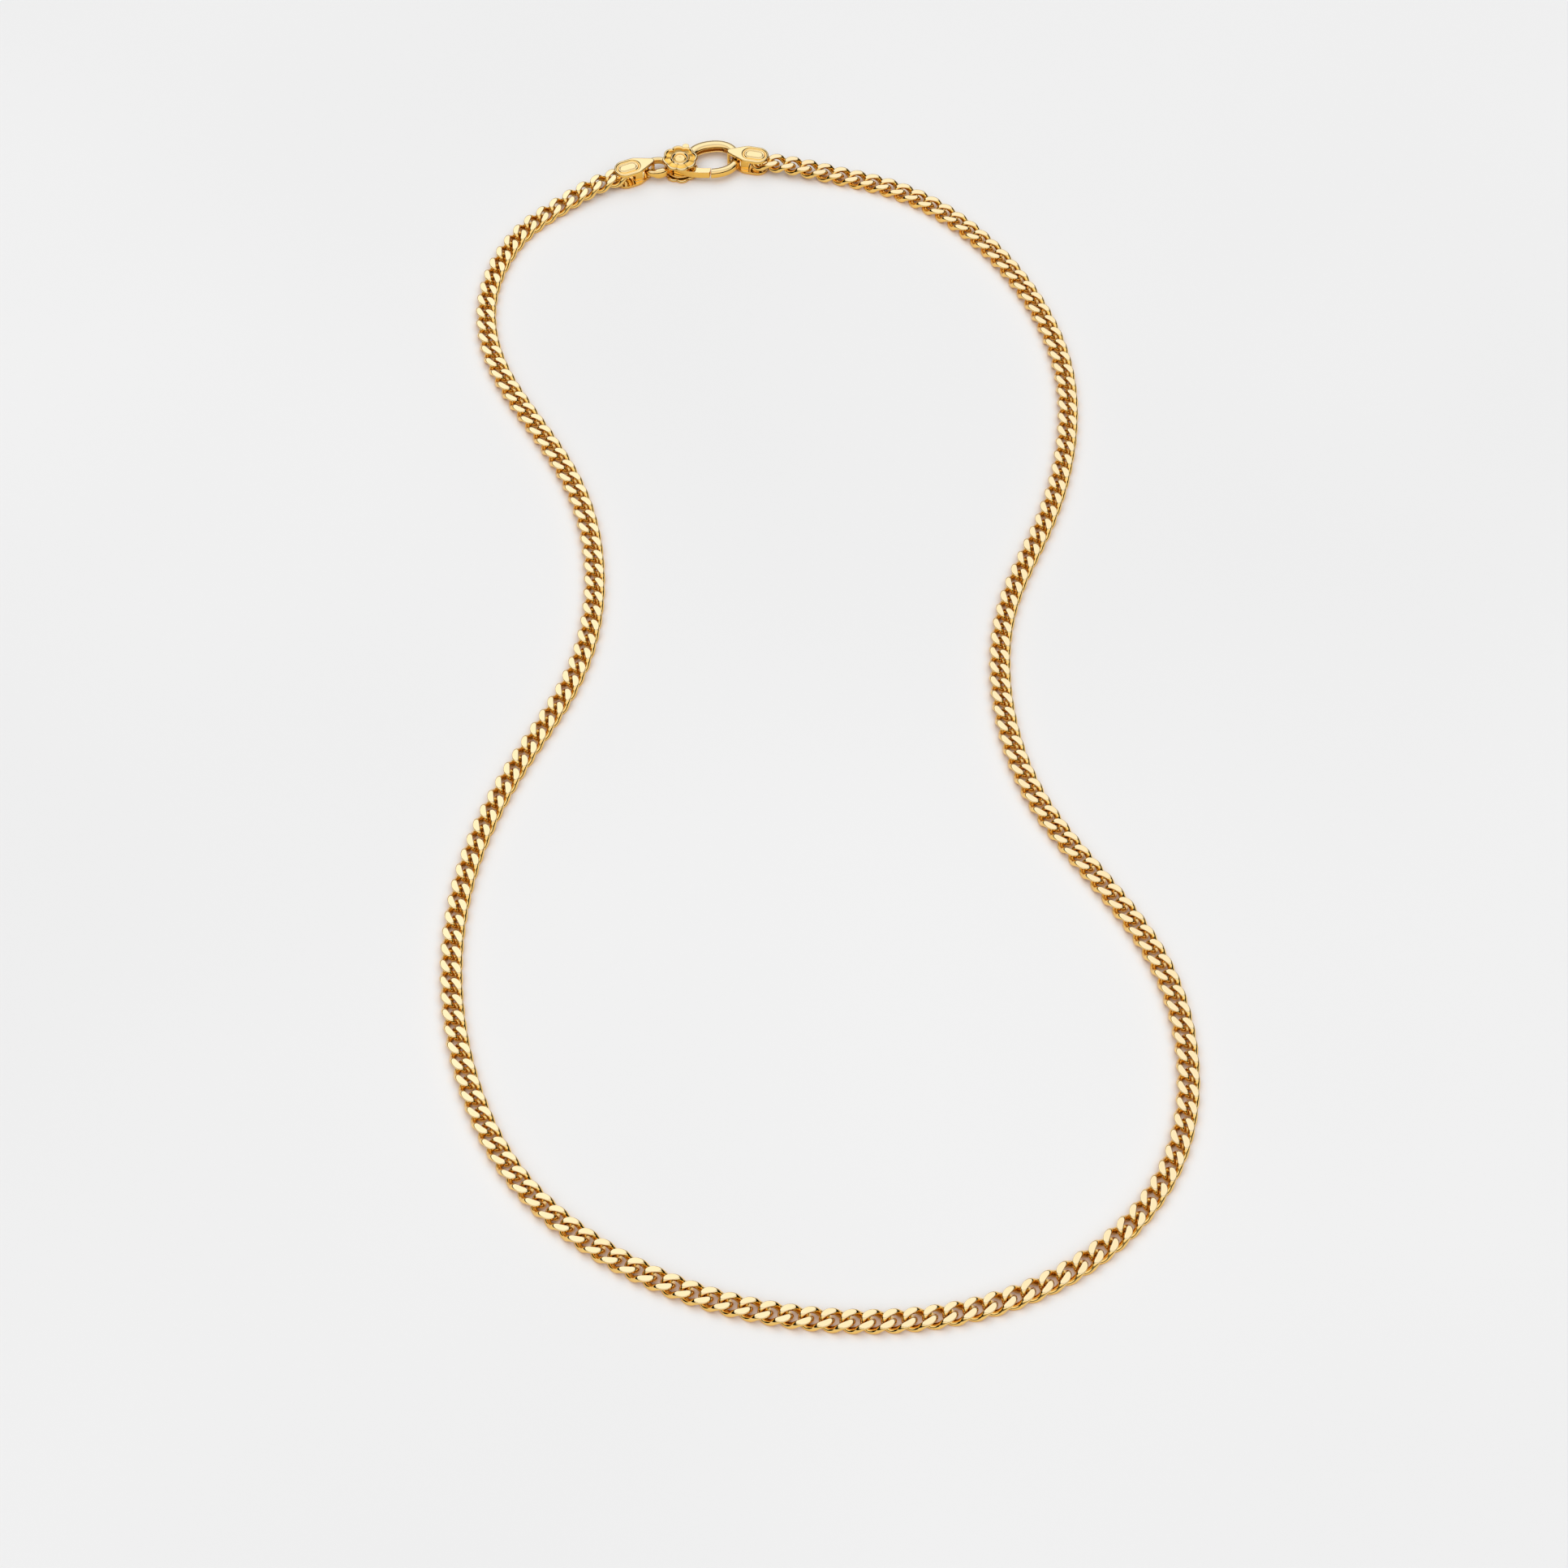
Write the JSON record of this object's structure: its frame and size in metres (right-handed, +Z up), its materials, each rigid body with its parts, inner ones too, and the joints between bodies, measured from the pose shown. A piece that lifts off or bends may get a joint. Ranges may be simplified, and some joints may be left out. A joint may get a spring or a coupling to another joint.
{
  "type": "chain necklace",
  "caption": "Twisted curb link chain necklace lying open in a loop, closed by a lever clasp with a round rosette between two end caps.",
  "frame": {"origin": "on the surface the necklace lies on, under the middle of its bounding box", "axes": "+Z up from the surface, +Y from the front of the chain towards the clasp, +X to the right"},
  "size_m": [0.113, 0.2357, 0.0033],
  "materials": {
    "chain_gold": "polished, gold plated",
    "clasp_gold": "polished, gold plated",
    "spring_steel": "plain spring steel"
  },
  "bodies": {
    "clasp": {"clasp_body": "clasp_gold", "lever_pin": "clasp_gold", "lever_spring": "spring_steel", "rosette_top": "clasp_gold", "rosette_bottom": "clasp_gold"},
    "lever": {"clasp_lever": "clasp_gold"},
    "cap_left": {"end_cap_left": "clasp_gold", "cap_pin_left": "clasp_gold"},
    "cap_right": {"end_cap_right": "clasp_gold", "cap_pin_right": "clasp_gold"},
    "left_01": {"links_left_01": "chain_gold"},
    "right_01": {"links_right_01": "chain_gold"},
    "left_02": {"links_left_02": "chain_gold"},
    "right_02": {"links_right_02": "chain_gold"},
    "left_03": {"links_left_03": "chain_gold"},
    "right_03": {"links_right_03": "chain_gold"},
    "left_04": {"links_left_04": "chain_gold"},
    "right_04": {"links_right_04": "chain_gold"},
    "left_05": {"links_left_05": "chain_gold"},
    "right_05": {"links_right_05": "chain_gold"},
    "left_06": {"links_left_06": "chain_gold"},
    "right_06": {"links_right_06": "chain_gold"},
    "left_07": {"links_left_07": "chain_gold"},
    "right_07": {"links_right_07": "chain_gold"},
    "left_08": {"links_left_08": "chain_gold"},
    "right_08": {"links_right_08": "chain_gold"},
    "left_09": {"links_left_09": "chain_gold"},
    "right_09": {"links_right_09": "chain_gold"},
    "left_10": {"links_left_10": "chain_gold"},
    "right_10": {"links_right_10": "chain_gold"},
    "left_11": {"links_left_11": "chain_gold"},
    "right_11": {"links_right_11": "chain_gold"},
    "left_12": {"links_left_12": "chain_gold"},
    "right_12": {"links_right_12": "chain_gold"},
    "left_13": {"links_left_13": "chain_gold"},
    "right_13": {"links_right_13": "chain_gold"},
    "left_14": {"links_left_14": "chain_gold"},
    "right_14": {"links_right_14": "chain_gold"},
    "left_15": {"links_left_15": "chain_gold"},
    "right_15": {"links_right_15": "chain_gold"},
    "left_16": {"links_left_16": "chain_gold"},
    "right_16": {"links_right_16": "chain_gold"},
    "left_17": {"links_left_17": "chain_gold"},
    "right_17": {"links_right_17": "chain_gold"},
    "left_18": {"links_left_18": "chain_gold"},
    "right_18": {"links_right_18": "chain_gold"},
    "left_19": {"links_left_19": "chain_gold"},
    "right_19": {"links_right_19": "chain_gold"},
    "left_20": {"links_left_20": "chain_gold"},
    "right_20": {"links_right_20": "chain_gold"},
    "left_21": {"links_left_21": "chain_gold"},
    "right_21": {"links_right_21": "chain_gold"},
    "left_22": {"links_left_22": "chain_gold"},
    "right_22": {"links_right_22": "chain_gold"},
    "left_23": {"links_left_23": "chain_gold"},
    "right_23": {"links_right_23": "chain_gold"},
    "left_24": {"links_left_24": "chain_gold"},
    "right_24": {"links_right_24": "chain_gold"}
  },
  "joints": [
    {"name": "lever_turn", "type": "hinge", "parent": "clasp", "child": "lever", "pos_m": [-0.02267, 0.11162, 0.00165], "axis": [0, 0, 1], "range_deg": [0, 22], "stiffness_Nm_per_rad": 0.001, "springref_deg": -20.05, "deforming": ["lever_spring"]},
    {"name": "swing_left", "type": "hinge", "parent": "clasp", "child": "cap_left", "pos_m": [-0.02826, 0.11135, 0.00165], "axis": [0.9869, 0.1613, 0], "range_deg": [-8, 8]},
    {"name": "swing_right", "type": "hinge", "parent": "clasp", "child": "cap_right", "pos_m": [-0.0125, 0.11393, 0.00165], "axis": [0.9869, 0.1613, 0], "range_deg": [-8, 8]},
    {"name": "fold_left_01", "type": "hinge", "parent": "cap_left", "child": "left_01", "pos_m": [-0.03234, 0.10957, 0.00165], "axis": [0.9901, 0.1405, 0], "range_deg": [-5, 5]},
    {"name": "fold_right_01", "type": "hinge", "parent": "cap_right", "child": "right_01", "pos_m": [-0.00814, 0.113, 0.00165], "axis": [0.9901, 0.1405, 0], "range_deg": [-5, 5]},
    {"name": "fold_left_02", "type": "hinge", "parent": "left_01", "child": "left_02", "pos_m": [-0.04375, 0.10202, 0.00098], "axis": [0.9862, 0.1657, 0], "range_deg": [-5, 5]},
    {"name": "fold_right_02", "type": "hinge", "parent": "right_01", "child": "right_02", "pos_m": [0.00531, 0.11026, 0.00098], "axis": [0.9862, 0.1657, 0], "range_deg": [-5, 5]},
    {"name": "fold_left_03", "type": "hinge", "parent": "left_02", "child": "left_03", "pos_m": [-0.05224, 0.09062, 0.00084], "axis": [0.9803, 0.1976, 0], "range_deg": [-10, 10]},
    {"name": "fold_right_03", "type": "hinge", "parent": "right_02", "child": "right_03", "pos_m": [0.0186, 0.1049, 0.00084], "axis": [0.9803, 0.1976, 0], "range_deg": [-10, 10]},
    {"name": "fold_left_04", "type": "hinge", "parent": "left_03", "child": "left_04", "pos_m": [-0.05465, 0.07653, 0.00084], "axis": [0.976, 0.2176, 0], "range_deg": [-10, 10]},
    {"name": "fold_right_04", "type": "hinge", "parent": "right_03", "child": "right_04", "pos_m": [0.0292, 0.09523, 0.00084], "axis": [0.976, 0.2176, 0], "range_deg": [-10, 10]},
    {"name": "sway_left_05", "type": "hinge", "parent": "left_04", "child": "left_05", "pos_m": [-0.05223, 0.06535, 0.00084], "axis": [0, 0, 1], "range_deg": [-8, 8]},
    {"name": "sway_right_05", "type": "hinge", "parent": "right_04", "child": "right_05", "pos_m": [0.03546, 0.0856, 0.00084], "axis": [0, 0, 1], "range_deg": [-8, 8]},
    {"name": "sway_left_06", "type": "hinge", "parent": "left_05", "child": "left_06", "pos_m": [-0.04743, 0.05488, 0.00084], "axis": [0, 0, 1], "range_deg": [-8, 8]},
    {"name": "sway_right_06", "type": "hinge", "parent": "right_05", "child": "right_06", "pos_m": [0.04026, 0.07514, 0.00084], "axis": [0, 0, 1], "range_deg": [-8, 8]},
    {"name": "fold_left_07", "type": "hinge", "parent": "left_06", "child": "left_07", "pos_m": [-0.04166, 0.04489, 0.00084], "axis": [0.9756, 0.2194, 0], "range_deg": [-10, 10]},
    {"name": "fold_right_07", "type": "hinge", "parent": "right_06", "child": "right_07", "pos_m": [0.0427, 0.06386, 0.00084], "axis": [0.9756, 0.2194, 0], "range_deg": [-10, 10]},
    {"name": "fold_left_08", "type": "hinge", "parent": "left_07", "child": "left_08", "pos_m": [-0.03719, 0.03428, 0.00084], "axis": [0.9755, 0.2201, 0], "range_deg": [-10, 10]},
    {"name": "fold_right_08", "type": "hinge", "parent": "right_07", "child": "right_08", "pos_m": [0.04291, 0.05236, 0.00084], "axis": [0.9755, 0.2201, 0], "range_deg": [-10, 10]},
    {"name": "fold_left_09", "type": "hinge", "parent": "left_08", "child": "left_09", "pos_m": [-0.03489, 0.02301, 0.00084], "axis": [0.9733, 0.2296, 0], "range_deg": [-10, 10]},
    {"name": "fold_right_09", "type": "hinge", "parent": "right_08", "child": "right_09", "pos_m": [0.04124, 0.04096, 0.00084], "axis": [0.9733, 0.2296, 0], "range_deg": [-10, 10]},
    {"name": "fold_left_10", "type": "hinge", "parent": "left_09", "child": "left_10", "pos_m": [-0.03468, 0.0115, 0.00084], "axis": [0.9694, 0.2456, 0], "range_deg": [-10, 10]},
    {"name": "fold_right_10", "type": "hinge", "parent": "right_09", "child": "right_10", "pos_m": [0.03799, 0.02991, 0.00084], "axis": [0.9694, 0.2456, 0], "range_deg": [-10, 10]},
    {"name": "sway_left_11", "type": "hinge", "parent": "left_10", "child": "left_11", "pos_m": [-0.03603, 0.00298, 0.00084], "axis": [0, 0, 1], "range_deg": [-8, 8]},
    {"name": "sway_right_11", "type": "hinge", "parent": "right_10", "child": "right_11", "pos_m": [0.03484, 0.02186, 0.00084], "axis": [0, 0, 1], "range_deg": [-8, 8]},
    {"name": "sway_left_12", "type": "hinge", "parent": "left_11", "child": "left_12", "pos_m": [-0.03977, -0.0079, 0.00084], "axis": [0, 0, 1], "range_deg": [-8, 8]},
    {"name": "sway_right_12", "type": "hinge", "parent": "right_11", "child": "right_12", "pos_m": [0.0311, 0.01098, 0.00084], "axis": [0, 0, 1], "range_deg": [-8, 8]},
    {"name": "fold_left_13", "type": "hinge", "parent": "left_12", "child": "left_13", "pos_m": [-0.04488, -0.01824, 0.00084], "axis": [0.9729, 0.2311, 0], "range_deg": [-10, 10]},
    {"name": "fold_right_13", "type": "hinge", "parent": "right_12", "child": "right_13", "pos_m": [0.0299, -0.00048, 0.00084], "axis": [0.9729, 0.2311, 0], "range_deg": [-10, 10]},
    {"name": "fold_left_14", "type": "hinge", "parent": "left_13", "child": "left_14", "pos_m": [-0.04929, -0.02888, 0.00084], "axis": [0.9784, 0.2068, 0], "range_deg": [-10, 10]},
    {"name": "fold_right_14", "type": "hinge", "parent": "right_13", "child": "right_14", "pos_m": [0.03077, -0.01196, 0.00084], "axis": [0.9784, 0.2068, 0], "range_deg": [-10, 10]},
    {"name": "fold_left_15", "type": "hinge", "parent": "left_14", "child": "left_15", "pos_m": [-0.0523, -0.04, 0.00084], "axis": [0.9812, 0.193, 0], "range_deg": [-10, 10]},
    {"name": "fold_right_15", "type": "hinge", "parent": "right_14", "child": "right_15", "pos_m": [0.03369, -0.02309, 0.00084], "axis": [0.9812, 0.193, 0], "range_deg": [-10, 10]},
    {"name": "fold_left_16", "type": "hinge", "parent": "left_15", "child": "left_16", "pos_m": [-0.05356, -0.05145, 0.00084], "axis": [0.9814, 0.1918, 0], "range_deg": [-10, 10]},
    {"name": "fold_right_16", "type": "hinge", "parent": "right_15", "child": "right_16", "pos_m": [0.03881, -0.0334, 0.00084], "axis": [0.9814, 0.1918, 0], "range_deg": [-10, 10]},
    {"name": "fold_left_17", "type": "hinge", "parent": "left_16", "child": "left_17", "pos_m": [-0.05307, -0.06295, 0.00084], "axis": [0.9802, 0.1982, 0], "range_deg": [-10, 10]},
    {"name": "fold_right_17", "type": "hinge", "parent": "right_16", "child": "right_17", "pos_m": [0.04499, -0.04313, 0.00084], "axis": [0.9802, 0.1982, 0], "range_deg": [-10, 10]},
    {"name": "sway_left_18", "type": "hinge", "parent": "left_17", "child": "left_18", "pos_m": [-0.05171, -0.07152, 0.00084], "axis": [0, 0, 1], "range_deg": [-8, 8]},
    {"name": "sway_right_18", "type": "hinge", "parent": "right_17", "child": "right_18", "pos_m": [0.04946, -0.05055, 0.00084], "axis": [0, 0, 1], "range_deg": [-8, 8]},
    {"name": "sway_left_19", "type": "hinge", "parent": "left_18", "child": "left_19", "pos_m": [-0.04793, -0.08238, 0.00084], "axis": [0, 0, 1], "range_deg": [-8, 8]},
    {"name": "sway_right_19", "type": "hinge", "parent": "right_18", "child": "right_19", "pos_m": [0.05324, -0.06142, 0.00084], "axis": [0, 0, 1], "range_deg": [-8, 8]},
    {"name": "fold_left_20", "type": "hinge", "parent": "left_19", "child": "left_20", "pos_m": [-0.04089, -0.09486, 0.00084], "axis": [0.9804, 0.1969, 0], "range_deg": [-10, 10]},
    {"name": "fold_right_20", "type": "hinge", "parent": "right_19", "child": "right_20", "pos_m": [0.05473, -0.07566, 0.00084], "axis": [0.9804, 0.1969, 0], "range_deg": [-10, 10]},
    {"name": "fold_left_21", "type": "hinge", "parent": "left_20", "child": "left_21", "pos_m": [-0.03033, -0.1046, 0.00084], "axis": [0.984, 0.1783, 0], "range_deg": [-10, 10]},
    {"name": "fold_right_21", "type": "hinge", "parent": "right_20", "child": "right_21", "pos_m": [0.05186, -0.0897, 0.00084], "axis": [0.984, 0.1783, 0], "range_deg": [-10, 10]},
    {"name": "fold_left_22", "type": "hinge", "parent": "left_21", "child": "left_22", "pos_m": [-0.02036, -0.11034, 0.00084], "axis": [0.987, 0.1607, 0], "range_deg": [-10, 10]},
    {"name": "fold_right_22", "type": "hinge", "parent": "right_21", "child": "right_22", "pos_m": [0.04595, -0.09954, 0.00084], "axis": [0.987, 0.1607, 0], "range_deg": [-10, 10]},
    {"name": "fold_left_23", "type": "hinge", "parent": "left_22", "child": "left_23", "pos_m": [-0.00949, -0.11414, 0.00084], "axis": [0.9897, 0.143, 0], "range_deg": [-10, 10]},
    {"name": "fold_right_23", "type": "hinge", "parent": "right_22", "child": "right_23", "pos_m": [0.03752, -0.10734, 0.00084], "axis": [0.9897, 0.143, 0], "range_deg": [-10, 10]},
    {"name": "fold_left_24", "type": "hinge", "parent": "left_23", "child": "left_24", "pos_m": [0.00187, -0.11601, 0.00084], "axis": [0.9918, 0.1274, 0], "range_deg": [-10, 10]},
    {"name": "fold_right_24", "type": "hinge", "parent": "right_23", "child": "right_24", "pos_m": [0.02737, -0.11274, 0.00084], "axis": [0.9918, 0.1274, 0], "range_deg": [-10, 10]}
  ],
  "couplings": [
    {"joint": "swing_right", "follows": "swing_left", "ratio": 1},
    {"joint": "fold_right_01", "follows": "fold_left_01", "ratio": 1},
    {"joint": "fold_right_02", "follows": "fold_left_02", "ratio": 1},
    {"joint": "fold_right_03", "follows": "fold_left_03", "ratio": 1},
    {"joint": "fold_right_04", "follows": "fold_left_04", "ratio": 1},
    {"joint": "sway_right_05", "follows": "sway_left_05", "ratio": 1},
    {"joint": "sway_left_06", "follows": "sway_left_05", "ratio": -1},
    {"joint": "sway_right_06", "follows": "sway_left_05", "ratio": -1},
    {"joint": "fold_right_07", "follows": "fold_left_07", "ratio": 1},
    {"joint": "fold_right_08", "follows": "fold_left_08", "ratio": 1},
    {"joint": "fold_right_09", "follows": "fold_left_09", "ratio": 1},
    {"joint": "fold_right_10", "follows": "fold_left_10", "ratio": 1},
    {"joint": "sway_right_11", "follows": "sway_left_11", "ratio": 1},
    {"joint": "sway_left_12", "follows": "sway_left_11", "ratio": -1},
    {"joint": "sway_right_12", "follows": "sway_left_11", "ratio": -1},
    {"joint": "fold_right_13", "follows": "fold_left_13", "ratio": 1},
    {"joint": "fold_right_14", "follows": "fold_left_14", "ratio": 1},
    {"joint": "fold_right_15", "follows": "fold_left_15", "ratio": 1},
    {"joint": "fold_right_16", "follows": "fold_left_16", "ratio": 1},
    {"joint": "fold_right_17", "follows": "fold_left_17", "ratio": 1},
    {"joint": "sway_right_18", "follows": "sway_left_18", "ratio": 1},
    {"joint": "sway_left_19", "follows": "sway_left_18", "ratio": -1},
    {"joint": "sway_right_19", "follows": "sway_left_18", "ratio": -1},
    {"joint": "fold_right_20", "follows": "fold_left_20", "ratio": 1},
    {"joint": "fold_right_21", "follows": "fold_left_21", "ratio": 1},
    {"joint": "fold_right_22", "follows": "fold_left_22", "ratio": 1},
    {"joint": "fold_right_23", "follows": "fold_left_23", "ratio": 1},
    {"joint": "fold_right_24", "follows": "fold_left_24", "ratio": 1}
  ]
}
